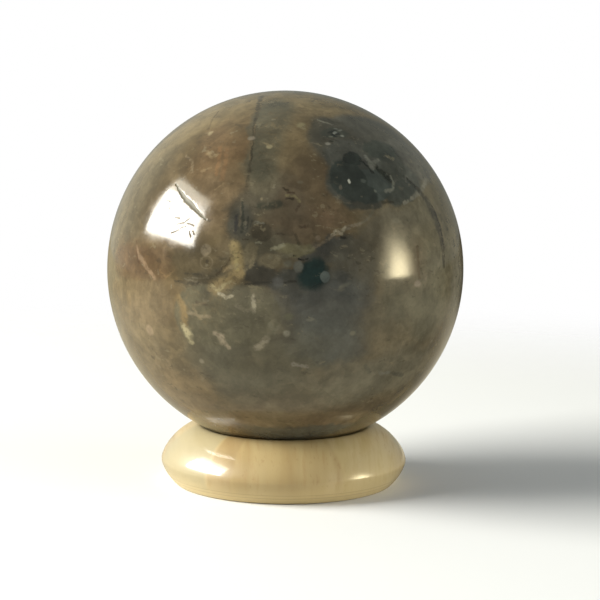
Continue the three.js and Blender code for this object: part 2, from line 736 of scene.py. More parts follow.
VEINS = (
    # A painted reflection of the table's far edge across the left and middle: a dark band, and under its
    # straight edge two paler ones, tan and then slate, with thin dark and pale lines along that edge, which
    # are partly the stone's own dashes.
    Vein(Tint(82, 66, 50), ((-64, 5, 5), (-42, 6.4, 5)), 0.5, edge=0.16),
    Vein(Tint(105, 91, 68), ((-66, -7, 6.2), (-43, -6, 7)), 0.7, edge=0.1),
    Vein(Tint(82, 79, 63), ((-26.5, -8.4, 9.7), (-11, -7.2, 9.4)), 0.78, edge=0.06),
    Vein(Tint(50, 46, 38), ((-34, 1.7, 0.3), (-28, 1.6, 0.4), (-20, 2.1, 0.3)), 0.7),
    Vein(Tint(46, 44, 38), ((-12, 2.5, 0.3), (-6, 2.9, 0.5), (3, 3.2, 0.3)), 0.7),
    Vein(Tint(92, 86, 72), ((-31, 3.4, 0.25), (-26.6, 3.2, 0.35), (-23.6, 3.6, 0.25)), 0.7),
    Vein(Tint(46, 44, 38), ((-31.6, 4.4, 0.3), (-26, 4.2, 0.4)), 0.5),
    # Two ochre veins at the left.
    Vein(
        Tint(121, 108, 77),
        ((-15.8, 13.4, 1.2), (-14.8, 10.4, 1.9), (-14.4, 7.4, 1.9), (-14, 5.6, 1.5)),
        0.95,
    ),
    Vein(Tint(119, 105, 76), ((-14, 5.6, 1.4), (-15.6, 3.9, 1.6), (-18.2, 2, 2.1), (-21.4, 0.6, 2.2)), 0.95),
    Vein(Tint(140, 128, 90), ((-15.4, 11.4, 0.5), (-14.8, 8, 0.7), (-14.6, 6.6, 0.4)), 0.7),
    Vein(
        Tint(142, 132, 100),
        ((-22.4, 1.2, 0.4), (-20.4, -0.2, 0.7), (-18.6, 1.4, 0.5), (-16.4, 2.8, 0.4)),
        0.8,
    ),
    Vein(Tint(150, 143, 122), ((-20.2, -1.1, 0.5), (-18, -2, 0.7), (-16, -1.6, 0.4)), 0.95),
    Vein(Tint(118, 104, 78), ((-18.4, 6.2, 0.5), (-16.4, 7.4, 0.6)), 0.7),
    Vein(Tint(104, 96, 76), ((-12.4, 6.4, 0.5), (-10.4, 7.6, 0.6), (-9.4, 10, 0.6), (-10.2, 12.6, 0.5)), 0.7),
    Vein(
        Tint(116, 99, 68),
        ((-34.2, -3, 0.8), (-32.6, -6, 1.3), (-32.2, -9.6, 1.0), (-32.6, -12, 0.7)),
        0.95,
    ),
    Vein(
        Tint(152, 144, 114),
        ((-33.2, -12, 0.7), (-32, -13.4, 1.1), (-31.2, -15, 1.2), (-31, -17, 0.6)),
        0.95,
    ),
    Vein(Tint(114, 104, 84), ((-30.9, -7.5, 0.3), (-27.6, -8.1, 0.7), (-23.6, -8.3, 0.3)), 0.9),
    Vein(Tint(114, 104, 82), ((-28.8, -6.2, 0.3), (-27.4, -8.2, 0.6), (-26.4, -9, 0.3)), 0.9),
    Vein(Tint(104, 98, 82), ((-25.4, -3.4, 0.4), (-23.6, -3.6, 0.4)), 0.8),
    # The pale crack that runs down from the slate patch.
    Vein(
        Tint(110, 108, 96),
        ((65, 33, 0.6), (58, 30, 0.9), (53.9, 28.6, 0.9), (49, 27.2, 0.7), (44, 25.8, 0.5)),
        0.9,
    ),
    # A short dark stroke under the slate patch's lower edge: painted shadow.
    Vein(Tint(56, 53, 43), ((34.5, 26.6, 0.4), (39.2, 26.6, 0.5)), 0.8),
    Vein(Tint(92, 88, 74), ((30.2, 25.4, 0.4), (29.6, 23.2, 0.5), (27.2, 21.4, 0.4), (24.7, 20.3, 0.5)), 0.8),
    Vein(Tint(106, 99, 84), ((24.7, 20.3, 0.5), (20.6, 19.3, 0.6), (18.4, 18.8, 0.7)), 0.85),
    Vein(Tint(140, 133, 114), ((18.6, 18.9, 0.6), (17.6, 17.6, 0.6), (16, 17.9, 0.6), (14.8, 17, 0.5)), 0.95),
    Vein(Tint(30, 30, 24), ((17.4, 16.4, 0.4), (18.8, 16.2, 0.4)), 0.8),
    Vein(Tint(100, 91, 76), ((14.8, 16.6, 0.4), (12.4, 15.2, 0.4), (8.9, 13.4, 0.5)), 0.8),
    Vein(Tint(104, 100, 80), ((8.4, 12.8, 0.5), (6, 12.2, 0.6), (3.4, 13.8, 0.5)), 0.7),
    Vein(Tint(112, 110, 92), ((-4.4, 12.6, 0.5), (-2.6, 13.2, 0.6), (-0.8, 14.2, 0.5)), 0.85),
    Vein(Tint(96, 92, 76), ((-5, 10.6, 0.4), (-1, 10.4, 0.5), (2, 11.2, 0.5)), 0.6),
    # The upright dark seam with slate on its right, and cracks at the upper left.
    Vein(Tint(70, 69, 57), ((-10, 69, 6), (-9, 58, 5.6), (-9.6, 46, 4.3), (-9.4, 38, 3.9)), 0.65, edge=0.4),
    Vein(Tint(112, 86, 60), ((-26.7, 45.4, 0.6), (-24.7, 39.7, 0.9), (-24, 34.3, 0.6)), 0.4),
    Vein(Tint(110, 84, 58), ((-30.4, 46, 0.5), (-28, 40, 0.8), (-26.7, 36, 0.5)), 0.5),
    Vein(Tint(122, 108, 82), ((-36, 44.3, 0.4), (-33, 42, 0.5), (-30, 43, 0.4)), 0.6),
    Vein(Tint(120, 104, 78), ((-33.7, 36.8, 0.4), (-30.5, 38, 0.5)), 0.6),
    Vein(Tint(122, 106, 80), ((-25.7, 30.8, 0.3), (-23, 33, 0.4)), 0.6),
    Vein(Tint(120, 106, 84), ((-46, 42, 0.3), (-41, 40, 0.5), (-38, 36, 0.3)), 0.6),
    Vein(Tint(58, 53, 41), ((-39, 77, 0.8), (-24, 67, 0.7), (-22.2, 65.6, 0.7), (-19.4, 59.8, 0.6)), 0.8),
    Vein(
        Tint(50, 46, 36),
        ((-19.4, 59.8, 0.5), (-16.8, 52.4, 0.6), (-15.4, 45.8, 0.5), (-14.8, 41.6, 0.5)),
        0.85,
    ),
    Vein(Tint(60, 55, 44), ((-14.8, 41.6, 0.4), (-14.2, 37, 0.5), (-13.8, 32, 0.4)), 0.75),
    Vein(Tint(112, 98, 74), ((-17.6, 57, 0.4), (-16.2, 48.5, 0.3), (-15.6, 42, 0.3)), 0.4),
    Vein(Tint(46, 47, 40), ((-14.4, 27, 0.3), (-14, 22.5, 0.5), (-13.7, 18, 0.5)), 0.9),
    Vein(Tint(48, 47, 46), ((-16.1, 22.4, 0.5), (-15.7, 17.6, 0.6)), 0.85),
    Vein(Tint(46, 46, 40), ((-12.4, 22.4, 0.35), (-12.2, 18.6, 0.4)), 0.85),
    Vein(Tint(52, 51, 44), ((-11.2, 21.4, 0.3), (-11, 18.8, 0.3)), 0.7),
    Vein(Tint(56, 52, 44), ((-19, 22.4, 0.3), (-17.2, 21.6, 0.4)), 0.7),
    Vein(Tint(92, 84, 68), ((-15, 25.2, 0.3), (-14.9, 19.4, 0.3)), 0.5),
    Vein(Tint(70, 58, 40), ((-56, 63, 0.4), (-48, 56, 0.3), (-44, 52.5, 0.4)), 0.6),
    Vein(Tint(128, 108, 86), ((-54.5, 11, 0.3), (-52, 8, 0.7), (-48, 5, 0.8), (-43.8, 1.8, 0.4)), 0.8),
    Vein(Tint(116, 96, 68), ((-42, 4.6, 0.3), (-39, 2.6, 0.4), (-36, 4.8, 0.3)), 0.5),
    Vein(Tint(76, 56, 38), ((-55, 12.4, 0.4), (-53.5, 8, 0.4), (-51.5, 5.5, 0.3)), 0.6),
    Vein(Tint(54, 50, 40), ((-35, 1.6, 0.4), (-28, 1.2, 0.4), (-22, 1.8, 0.3)), 0.6),
    Vein(Tint(98, 92, 78), ((-32, 2.8, 0.3), (-27.4, 2.2, 0.35)), 0.55),
    Vein(Tint(50, 42, 30), ((-21, 4.6, 0.4), (-18.2, 7, 0.5), (-17, 9.6, 0.3)), 0.6),
    # Small dark and pale strokes in the middle.
    Vein(Tint(93, 91, 80), ((-10, 20.8, 0.35), (-7, 20.5, 0.4)), 0.85),
    Vein(Tint(50, 51, 42), ((-8.6, 26, 0.9), (-5.6, 25.8, 1.5), (-2.4, 26.8, 0.9)), 0.8),
    Vein(Tint(88, 84, 70), ((-6.4, 28.4, 0.35), (-6, 26.6, 0.35)), 0.7),
    Vein(Tint(46, 40, 29), ((-1.2, 31.7, 0.4), (0.4, 31.4, 0.5)), 0.9),
    Vein(Tint(52, 42, 31), ((0.6, 30.6, 0.35), (3, 30.5, 0.35)), 0.8),
    Vein(Tint(100, 93, 68), ((0.2, 29.5, 0.4), (3, 29.4, 0.5), (4.6, 27.4, 0.4)), 0.8),
    Vein(Tint(44, 38, 28), ((0.2, 28.5, 0.35), (2.4, 28.3, 0.35)), 0.9),
    Vein(Tint(54, 44, 34), ((3.4, 24.4, 0.4), (4.4, 26.4, 0.5)), 0.7),
    Vein(Tint(52, 44, 34), ((-3, 17.5, 0.3), (0, 17.3, 0.35)), 0.8),
    Vein(Tint(56, 46, 35), ((4.4, 19.6, 0.6), (6.8, 19.8, 0.4)), 0.7),
    Vein(Tint(52, 48, 37), ((3, 16.8, 0.5), (4.2, 14.6, 0.6)), 0.7),
    Vein(Tint(46, 40, 29), ((-13.2, 15.4, 0.35), (-11.8, 15.3, 0.35)), 0.85),
    Vein(Tint(108, 106, 90), ((-9.2, 14.8, 0.3), (-7.6, 14.7, 0.3)), 0.85),
    Vein(Tint(24, 24, 20), ((4, 9.8, 0.35), (5, 9.4, 0.35), (6.8, 9.8, 0.25)), 0.9),
    Vein(Tint(34, 34, 28), ((2.6, 10.9, 0.3), (3.3, 10.8, 0.3)), 0.8),
    Vein(Tint(62, 58, 46), ((-8, 40, 0.4), (-5.4, 35, 0.4), (-6, 30.5, 0.4)), 0.45),
    Vein(Tint(70, 64, 50), ((-11, 44.5, 0.5), (-8, 44, 0.5)), 0.6),
    Vein(Tint(66, 60, 46), ((-10, 41.4, 0.4), (-6.4, 42, 0.4)), 0.5),
    # Lines in the slate patch and on the right side.
    Vein(Tint(34, 37, 29), ((36.9, 39, 0.9), (39.3, 36.6, 1.5), (42, 34, 1.2)), 0.95),
    Vein(Tint(38, 41, 36), ((31.5, 41.3, 0.4), (33.5, 39, 0.6), (34.7, 36.8, 0.5)), 0.9),
    Vein(Tint(102, 103, 95), ((34.8, 42.6, 0.5), (35.6, 40.2, 1.0), (35.5, 38.5, 0.8)), 0.95),
    Vein(Tint(98, 99, 91), ((40.6, 41.2, 0.6), (38.6, 40.6, 0.8), (36.4, 39.6, 0.7)), 0.9),
    Vein(Tint(106, 107, 97), ((42.7, 35, 0.35), (42.6, 32.6, 0.5), (40.4, 30.6, 0.6), (37.4, 30, 0.4)), 0.85),
    Vein(Tint(50, 50, 43), ((50.2, 34.6, 0.4), (52.7, 31.6, 0.8), (54.8, 29.6, 0.7)), 0.9),
    Vein(Tint(88, 88, 80), ((49.4, 33, 0.3), (51.2, 34.8, 0.35), (54.5, 32.4, 0.3)), 0.6),
    Vein(Tint(106, 104, 92), ((19.4, 60, 0.5), (22, 58.8, 0.4), (26.2, 57, 0.45)), 0.85),
    Vein(Tint(60, 58, 50), ((27, 59.6, 0.5), (31.5, 58, 0.6)), 0.6),
    Vein(
        Tint(64, 62, 54),
        ((54.8, 30, 0.5), (57.2, 26, 1.5), (58.7, 22, 1.9), (59.4, 16.5, 1.7)),
        0.85,
        edge=0.4,
    ),
    Vein(Tint(66, 62, 52), ((59.4, 16.5, 1.6), (59.8, 11, 1.1), (59, 5.4, 0.5)), 0.8, edge=0.4),
    Vein(Tint(52, 48, 40), ((59.4, 24, 0.4), (60.4, 18, 0.6), (60.4, 12, 0.4)), 0.7),
    Vein(Tint(110, 105, 90), ((62.4, 25, 0.5), (63.8, 18, 0.6), (64, 10, 0.4)), 0.45),
    Vein(Tint(82, 68, 52), ((45.6, 12, 0.4), (45.1, 6, 0.7), (45.3, 2.6, 0.5)), 0.5),
    # Short pale dashes on the lower half.
    Vein(Tint(136, 130, 112), ((-9.3, -1, 0.5), (-9.3, -3.4, 0.7), (-9.6, -5.8, 0.6)), 0.92),
    Vein(Tint(106, 100, 84), ((-15, -4.4, 0.5), (-12.4, -5.8, 0.5), (-10, -5.2, 0.4)), 0.75),
    Vein(
        Tint(132, 122, 104),
        ((-22, -13.6, 0.5), (-20.4, -14.2, 1.0), (-19.8, -16, 1.0), (-17.8, -18, 0.5)),
        0.95,
    ),
    Vein(Tint(128, 122, 106), ((-8.8, -17.6, 0.7), (-7.2, -16.8, 1.1), (-5.6, -14.4, 0.7)), 0.95),
    Vein(Tint(98, 94, 78), ((-5.4, -14, 0.6), (-4.6, -11.6, 0.9), (-3.6, -9, 0.5)), 0.7),
    Vein(Tint(98, 96, 82), ((-4.6, -9.8, 0.5), (-3.4, -12.4, 0.6), (-2, -10.6, 0.4)), 0.7),
    Vein(Tint(126, 122, 112), ((3.2, -23, 0.6), (6.8, -23.8, 0.8)), 0.85),
    Vein(Tint(66, 56, 46), ((-27.6, -4, 0.4), (-24, -5, 0.4)), 0.6),
    Vein(Tint(104, 94, 74), ((-28, -4.9, 0.4), (-24.4, -4, 0.4)), 0.6),
    Vein(Tint(120, 106, 84), ((-46, -23.4, 0.4), (-43.5, -25, 0.5)), 0.6),
    Vein(Tint(64, 64, 57), ((41, -28.4, 0.5), (47, -30, 0.8)), 0.75),
    Vein(Tint(104, 104, 96), ((35.2, -27.6, 0.5), (39.2, -28.2, 0.6)), 0.75),
    Vein(Tint(68, 68, 60), ((28, -24.4, 0.5), (30.6, -27, 0.6)), 0.55),
    Vein(Tint(96, 84, 62), ((-49, 60.2, 0.5), (-45, 60, 0.4)), 0.7),
)

FLECKS = (
    Patch(23.4, 34, 0.45, 0.7, Tint(180, 182, 170), 0.95, edge=0.4),
    Patch(29.3, 34, 0.9, 0.7, Tint(80, 86, 80), 0.8),
    Patch(33, 30.4, 0.45, 0.5, Tint(92, 96, 88), 0.8),
    Patch(19.6, 32.1, 0.5, 0.9, Tint(90, 86, 76), 0.7, lean=-20),
    Patch(24.3, 52, 1.1, 0.9, Tint(30, 34, 31), 0.9),
    Patch(26.4, 52.6, 0.9, 0.6, Tint(34, 38, 35), 0.9),
    Patch(24, 53.6, 1.6, 0.6, Tint(36, 40, 36), 0.8, lean=20),
    Patch(25.6, 53.4, 0.6, 0.4, Tint(104, 108, 102), 0.9),
    Patch(24.6, 52.9, 0.45, 0.45, Tint(118, 120, 112), 0.9),
    Patch(28.4, 51.6, 0.6, 0.5, Tint(110, 112, 104), 0.8),
    Patch(29.2, 54.2, 0.9, 0.35, Tint(100, 102, 94), 0.8, lean=15),
    Patch(27.2, 55, 0.7, 0.35, Tint(96, 98, 90), 0.8, lean=-20),
    Patch(22, 51.4, 0.7, 0.35, Tint(96, 98, 88), 0.8),
    Patch(19.1, 48.3, 0.8, 0.6, Tint(122, 120, 110), 0.85),
    Patch(21.4, 49.4, 0.7, 0.4, Tint(40, 42, 36), 0.8),
    Patch(8, 57, 1.2, 1.4, Tint(124, 116, 88), 0.85, lean=-40),
    Patch(9.4, 55.2, 0.6, 0.9, Tint(112, 102, 76), 0.6, lean=20),
    Patch(-7.6, 47, 0.9, 0.8, Tint(128, 120, 94), 0.9),
    Patch(-9, 48, 1.5, 0.45, Tint(106, 96, 74), 0.7, lean=-30),
    Patch(-17, 50.4, 1.2, 0.9, Tint(112, 104, 90), 0.85, edge=0.3),
    Patch(-41.5, 51.8, 0.8, 1.0, Tint(124, 112, 86), 0.85),
    Patch(-34.5, 43.4, 1.0, 0.7, Tint(120, 104, 78), 0.7),
    Patch(5, 33.8, 0.9, 0.5, Tint(102, 95, 78), 0.7),
    Patch(-8.4, 28.1, 0.4, 0.5, Tint(110, 102, 82), 0.8),
    Patch(10, 16.2, 0.8, 0.7, Tint(104, 93, 78), 0.8),
    Patch(-25.2, 11.8, 1.8, 1.8, Tint(112, 102, 84), 0.8, edge=0.2),
    Patch(-25.2, 11.8, 2.3, 2.2, Tint(78, 70, 56), 0.5, edge=0.12, form=Mark.RING),
    Patch(-24.6, 8.1, 2.0, 1.8, Tint(108, 98, 80), 0.75, edge=0.22, form=Mark.RING),
    Patch(-24.4, 8.4, 0.7, 0.6, Tint(58, 52, 42), 0.7),
    Patch(3.9, 7.7, 1.5, 1.6, Tint(92, 94, 88), 0.8, edge=0.3),
    Patch(0.8, 8.4, 1.3, 1.1, Tint(84, 85, 76), 0.6),
    Patch(11.9, 4.6, 1.5, 1.7, Tint(77, 84, 82), 0.95, edge=0.14),
    Patch(-2.2, 3.1, 1.5, 1.4, Tint(84, 84, 82), 0.6),
    Patch(0.5, -12.6, 1.0, 1.0, Tint(132, 130, 116), 0.9),
    Patch(-28.5, -23.4, 0.8, 0.8, Tint(122, 116, 100), 0.85),
    Patch(-48.5, -15, 1.6, 1.7, Tint(128, 112, 90), 0.8, edge=0.3),
    Patch(-47, -20, 1.4, 1.6, Tint(118, 106, 82), 0.6),
    Patch(7.6, -8.2, 1.1, 0.6, Tint(100, 100, 90), 0.7),
    Patch(21.4, -13, 0.8, 0.7, Tint(106, 104, 90), 0.8),
    Patch(44.6, 0.8, 1.3, 1.0, Tint(134, 124, 110), 0.85),
    Patch(48.2, 2.6, 1.0, 1.6, Tint(116, 108, 92), 0.5),
    Patch(18, 2, 2.2, 0.6, Tint(92, 92, 84), 0.6, lean=20),
    Patch(1, -7.4, 1.4, 1.0, Tint(98, 98, 78), 0.6),
    Patch(14, -33.4, 2.6, 1.6, Tint(104, 100, 84), 0.5),
    Patch(38.4, 20.6, 1.6, 0.8, Tint(112, 108, 92), 0.6),
    Patch(-58, -6, 1.6, 2.2, Tint(122, 104, 74), 0.5),
)

GROUND = (
    (0.32, Tint(78, 72, 57)),
    (0.46, Tint(90, 80, 61)),
    (0.56, Tint(99, 88, 64)),
    (0.7, Tint(108, 90, 62)),
)
FAR_SLATE = Tint(68, 70, 65)
# Thin veins away from the front: where in a noise each starts, how fine it is, and its tint.
FAR_VEINS = (
    ((1.3, 5.2, 2.8), 1.7, Tint(128, 112, 78)),
    ((7.7, 0.6, 4.1), 2.3, Tint(108, 104, 92)),
    ((2.2, 8.4, 6.9), 1.9, Tint(52, 49, 40)),
)
CHIPS = ((ORIGIN, Tint(46, 43, 36)), ((9.0, 9.0, 9.0), Tint(122, 114, 92)))
CRYSTAL = Tint(122, 116, 98)


@dataclass(frozen=True)
class Mottle:
    """A noise that shades the stone: where its value runs, and what it multiplies the colour by there."""

    scale: float
    detail: float
    roughness: float
    run: Span
    shades: Span
    twist: float = 0.0

    def read(self, tree: ShaderTree, point: Socket) -> Signal:
        """Gives the noise's value at a point."""
        return tree.grey_noise(point, self.scale, self.detail, self.roughness, self.twist)

    def shade(self, value: Signal) -> Signal:
        """Gives what a value of the noise multiplies the colour by."""
        return value.eased(*self.run, *self.shades)


@dataclass(frozen=True)
class StoneFinish:
    """Polished stone: clouded brown and olive, with slate patches, ochre veins and pale flecks.

    Lengths count in radii of the ball, but for the depth of the polish's unevenness.
    """

    centre: Vector
    radius: float
    front_run: Span = (0.0, 0.35)
    region_edges: Edges = ((5.0, 0.07), (15.0, 0.05))
    slate_edges: Edges = ((9.0, 0.03), (26.0, 0.016))
    vein_edges: Edges = ((17.0, 0.016), (60.0, 0.009))
    fleck_edges: Edges = ((14.0, 0.003), (34.0, 0.006))
    crack_edges: Edges = ((55.0, 0.006),)
    facet_edges: Edges = ((7.0, 0.06),)
    crystal_edges: Edges = ((40.0, 0.035),)
    gaps: Mottle = Mottle(44.0, 2.0, 0.55, (0.34, 0.5), (0.45, 1.0))
    spots: Mottle = Mottle(7.0, 6.0, 0.58, (0.32, 0.68), (0.82, 1.2), twist=0.5)
    streaks: Mottle = Mottle(12.0, 5.0, 0.65, (0.32, 0.68), (0.94, 1.06))
    blots: Mottle = Mottle(19.0, 5.0, 0.6, (0.36, 0.64), (0.92, 1.08))
    fine: Mottle = Mottle(52.0, 3.0, 0.7, (0.25, 0.75), (0.94, 1.06))
    upright: Place = (ORIGIN, (0.0, 0.12, 0.0), (1.0, 1.0, 3.2))
    flat: Place = ((0.3, 0.1, 0.7), (0.0, 0.2, 0.0), (1.7, 1.7, 1.0))
    worn_run: Span = (0.35, 0.7)
    gloss: Span = (0.1, 0.16)
    broken_roughness: float = 0.5
    refraction: float = 1.54
    uneven_share: float = 0.12
    uneven_depth: float = 0.12 * MM

    def build(self) -> bpy.types.Material:
        """Makes the material.

        Returns:
            The material, in the ball's own coordinates.
        """
        tree = ShaderTree(bpy.data.materials.new("figured_stone"))
        place = tree.node("TexCoord").outputs["Object"]
        point = tree.placed(place, self.centre, ORIGIN, (self.radius,) * 3)
        front = tree.length("DOT_PRODUCT", point, tuple(heading(0, 0))).eased(*self.front_run)
        colour = self._ground(tree, point, front)
        colour = self._laid(tree, colour, tree.torn(point, self.region_edges), REGIONS)
        colour = self._laid(tree, colour, tree.torn(point, self.slate_edges), SLATE)
        whole = self.gaps.shade(self.gaps.read(tree, point))
        colour = self._laid(tree, colour, tree.torn(point, self.vein_edges), VEINS, whole)
        colour = self._laid(tree, colour, tree.torn(point, self.fleck_edges), FLECKS)
        colour = self._far_figure(tree, colour, point, 1.0 - front)
        colour, worn = self._mottled(tree, colour, point)
        colour = self._chipped(tree, colour, point)
        broken = CRACK_MARK.mask(tree, tree.torn(point, self.crack_edges))
        colour = tree.mix(broken, colour, CRACK_MARK.tint.linear())
        unevenness = tree.grey_noise(point, 17.0, detail=4.0)
        surface = {
            "Base Color": colour,
            "Roughness": worn.eased(*self.worn_run, *self.gloss) + broken * self.broken_roughness,
            "IOR": self.refraction,
            "Normal": tree.bumped(unevenness, self.uneven_share, self.uneven_depth),
        }
        return tree.finish(surface)

    @staticmethod
    def _ground(tree: ShaderTree, point: Socket, front: Signal) -> Socket:
        """Gives the clouded ground of the stone, with slate clouds away from the front.

        Args:
            tree: The stone's shader.
            point: The direction from the ball's centre.
            front: How much this is the front, from 0 to 1.

        Returns:
            The colour.
        """
        brown = tree.ramp(tree.grey_noise(point, 1.6, detail=6.0, roughness=0.62, twist=0.6), GROUND)
        slate = tree.grey_noise(tree.moved(point, (3.1, 1.7, 0.4)), 1.5, detail=6.0, roughness=0.6)
        slate_share = slate.eased(0.5, 0.6) * (1.0 - front) * 0.85
        return tree.mix(slate_share, brown, FAR_SLATE.linear())

    @staticmethod
    def _laid(
        tree: ShaderTree,
        colour: Socket,
        point: Socket,
        marks: Sequence[Union[Patch, Vein]],
        share: Number = 1.0,
    ) -> Socket:
        """Lays marks over a colour, one after another.

        Args:
            tree: The stone's shader.
            colour: The colour under them.
            point: The direction from the ball's centre, torn as much as the marks' edges are ragged.
            marks: The marks.
            share: How much of the marks is there at all.

        Returns:
            The colour with them.
        """
        for mark in marks:
            colour = tree.mix(mark.mask(tree, point) * share, colour, mark.tint.linear())
        return colour

    @staticmethod
    def _far_figure(tree: ShaderTree, colour: Socket, point: Socket, far: Signal) -> Socket:
        """Adds thin pale and dark veins to the sides and the back.

        Args:
            tree: The stone's shader.
            colour: The colour under them.
            point: The direction from the ball's centre.
            far: How much this is away from the front, from 0 to 1.

        Returns:
            The colour with them.
        """
        for start, scale, tint in FAR_VEINS:
            moved = tree.moved(point, start)
            ridge = (tree.grey_noise(moved, scale, detail=7.0, roughness=0.6) - 0.5).size()
            broken = tree.grey_noise(moved, 3.1 * scale, detail=3.0).eased(0.48, 0.6)
            colour = tree.mix(ridge.eased(0.014, 0.004) * broken * far * 0.8, colour, tint.linear())
        return colour

    def _mottled(self, tree: ShaderTree, colour: Socket, point: Socket) -> tuple[Socket, Signal]:
        """Shades a colour all over: soft spots, upright streaks, blots, fine grain and crystal facets.

        Args:
            tree: The stone's shader.
            colour: The colour.
            point: The direction from the ball's centre.

        Returns:
            The mottled colour, and the spots that it was mottled with.
        """
        spots = self.spots.read(tree, point)
        shade = self.spots.shade(spots)
        upright = tree.placed(point, *self.upright)
        for mottle, place in ((self.streaks, upright), (self.blots, point), (self.fine, point)):
            shade = shade * mottle.shade(mottle.read(tree, place))
        facet = tree.cells(tree.torn(point, self.facet_edges), 10.0)[1]
        return tree.scaled(colour, shade * facet.eased(0.0, 1.0, 0.92, 1.08)), spots

    def _chipped(self, tree: ShaderTree, colour: Socket, point: Socket) -> Socket:
        """Adds clusters of small flat chips, dark and pale, and small pale crystals.

        Args:
            tree: The stone's shader.
            colour: The colour under them.
            point: The direction from the ball's centre.

        Returns:
            The colour with them.
        """
        gathered = tree.moved(point, (5.0, 2.0, 7.0))
        clusters = tree.grey_noise(gathered, 3.0, detail=3.0).eased(0.44, 0.6)
        flat = tree.placed(point, *self.flat)
        for start, tint in CHIPS:
            chips = tree.grey_noise(tree.moved(flat, start), 30.0, detail=3.0, roughness=0.6)
            colour = tree.mix(chips.eased(0.6, 0.68) * clusters * 0.4, colour, tint.linear())
        away, drawn = tree.cells(tree.torn(point, self.crystal_edges), 15.0)
        crystals = away.eased(0.2, 0.09) * drawn.eased(0.8, 0.95)
        return tree.mix(crystals * 0.35, colour, CRYSTAL.linear())


# --------------------------------------------------------------------------------------------------
# The pieces
# --------------------------------------------------------------------------------------------------


@dataclass(frozen=True)
class Hollow:
    """A stretch of a crack or of a scratch in the ball's skin.

    It runs from one place to another, each a turn and a rise in degrees, and is as wide as reach, in
    radii of the ball, to each side. Its depth counts in crack depths.
    """

    start: Span
    end: Span
    reach: float
    depth: float = 1.0

    def share(self, outward: Vector) -> float:
        """Gives how deep a point of the skin lies in the hollow.

        Args:
            outward: The point's direction from the ball's centre.

        Returns:
            A number from 0, outside or at the lip, to 1, at the bottom.
        """
        return self.depth * max(0.0, 1.0 - (self.away(outward) / self.reach) ** 2)

    def away(self, outward: Vector) -> float:
        """Gives a point's distance from the hollow's middle line.

        Args:
            outward: The point's direction from the ball's centre.

        Returns:
            The distance, in radii of the ball.
        """
        first, last = heading(*self.start), heading(*self.end)
        along = last - first
        place = max(0.0, min(1.0, (outward - first).dot(along) / along.length_squared))
        return (outward - first - along * place).length


@dataclass
class StoneBall:
    """The solid ball of polished stone, with one open crack and a few scratches beside it.

    The hollows all lie within broken_reach of broken_middle. The mesh is refined once for each band,
    wherever a hollow is nearer than that. Reaches and bands count in radii, and scratch_depth in crack
    depths.
    """

    node: str = "stone_ball"
    subdivisions: int = 7
    crack_depth: float = 0.12 * MM
    broken_middle: Span = (-36, 23)
    broken_reach: float = 0.42
    bands: tuple[float, ...] = (0.034, 0.021, 0.013)
    ragged: float = 0.004
    ragged_scale: float = 55.0
    ragged_seed: int = 5
    scratch_depth: float = 0.5
    centre: Vector = field(init=False)
    radius: float = field(init=False)

    def __post_init__(self) -> None:
        """Takes the ball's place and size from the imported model."""
        low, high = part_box(self.node)
        self.centre = (low + high) / 2
        self.radius = (high.z - low.z) / 2

    def build(self) -> bpy.types.Object:
        """Models and dresses the ball.

        Returns:
            The finished piece.
        """
        bpy.ops.object.select_all(action="DESELECT")
        bpy.ops.mesh.primitive_ico_sphere_add(subdivisions=self.subdivisions, radius=self.radius)
        ball = bpy.context.object
        ball.name = "figured_ball"
        self._round(ball)
        self._break_skin(ball)
        select_only(ball)
        bpy.ops.object.shade_smooth()
        set_down(ball, self.centre)
        hand_over(ball, self.node, StoneFinish(self.centre, self.radius).build())
        return ball

    def _round(self, ball: bpy.types.Object) -> None:
        """Puts every point of the mesh on the true sphere."""
        form = {"cast_type": "SPHERE", "use_radius_as_size": False}
        apply_modifier(ball, "CAST", factor=1.0, size=self.radius, **form)

    def _hollows(self) -> list[Hollow]:
        """Lists the stretches of the crack and of the scratches."""
        lines = ((CRACK, 1.0), *((scratch, self.scratch_depth) for scratch in SCRATCHES))
        return [
            Hollow(start[:2], end[:2], math.radians((start[2] + end[2]) / 2), depth)
            for line, depth in lines
            for start, end in zip(line, line[1:])
        ]

    def _break_skin(self, ball: bpy.types.Object) -> None:
        """Refines the mesh round the hollows and sinks them.

        Args:
            ball: The ball, still at the origin.
        """
        hollows = self._hollows()
        middle = heading(*self.broken_middle)

        def near(place: Vector, reach: float) -> bool:
            """Tells whether a place lies near a hollow.

            Args:
                place: The place, counted from the ball's centre.
                reach: How far from a hollow counts as near, in radii of the ball.

            Returns:
                Whether it does.
            """
            outward = place.normalized()
            if (outward - middle).length > self.broken_reach:
                return False
            return any(hollow.away(outward) < reach for hollow in hollows)

        for reach in self.bands:
            select_points(ball, lambda vertex: near(vertex.co, reach))
            select_only(ball)
            bpy.ops.object.mode_set(mode="EDIT")
            bpy.ops.mesh.subdivide(number_cuts=1, ngon=False)
            bpy.ops.object.mode_set(mode="OBJECT")
        self._round(ball)
        sunk = ball.vertex_groups.new(name="sunk")
        noise.seed_set(self.ragged_seed)
        for vertex in ball.data.vertices:
            outward = vertex.co.normalized()
            if (outward - middle).length < self.broken_reach:
                torn = outward + self.ragged * noise.noise_vector(outward * self.ragged_scale)
                share = max(hollow.share(torn) for hollow in hollows)
                sunk.add([vertex.index], max(0.0, min(1.0, share)), "REPLACE")
        inward = {"direction": "NORMAL", "mid_level": 0.0, "vertex_group": sunk.name}
        apply_modifier(ball, "DISPLACE", strength=-self.crack_depth, **inward)
        ball.vertex_groups.clear()


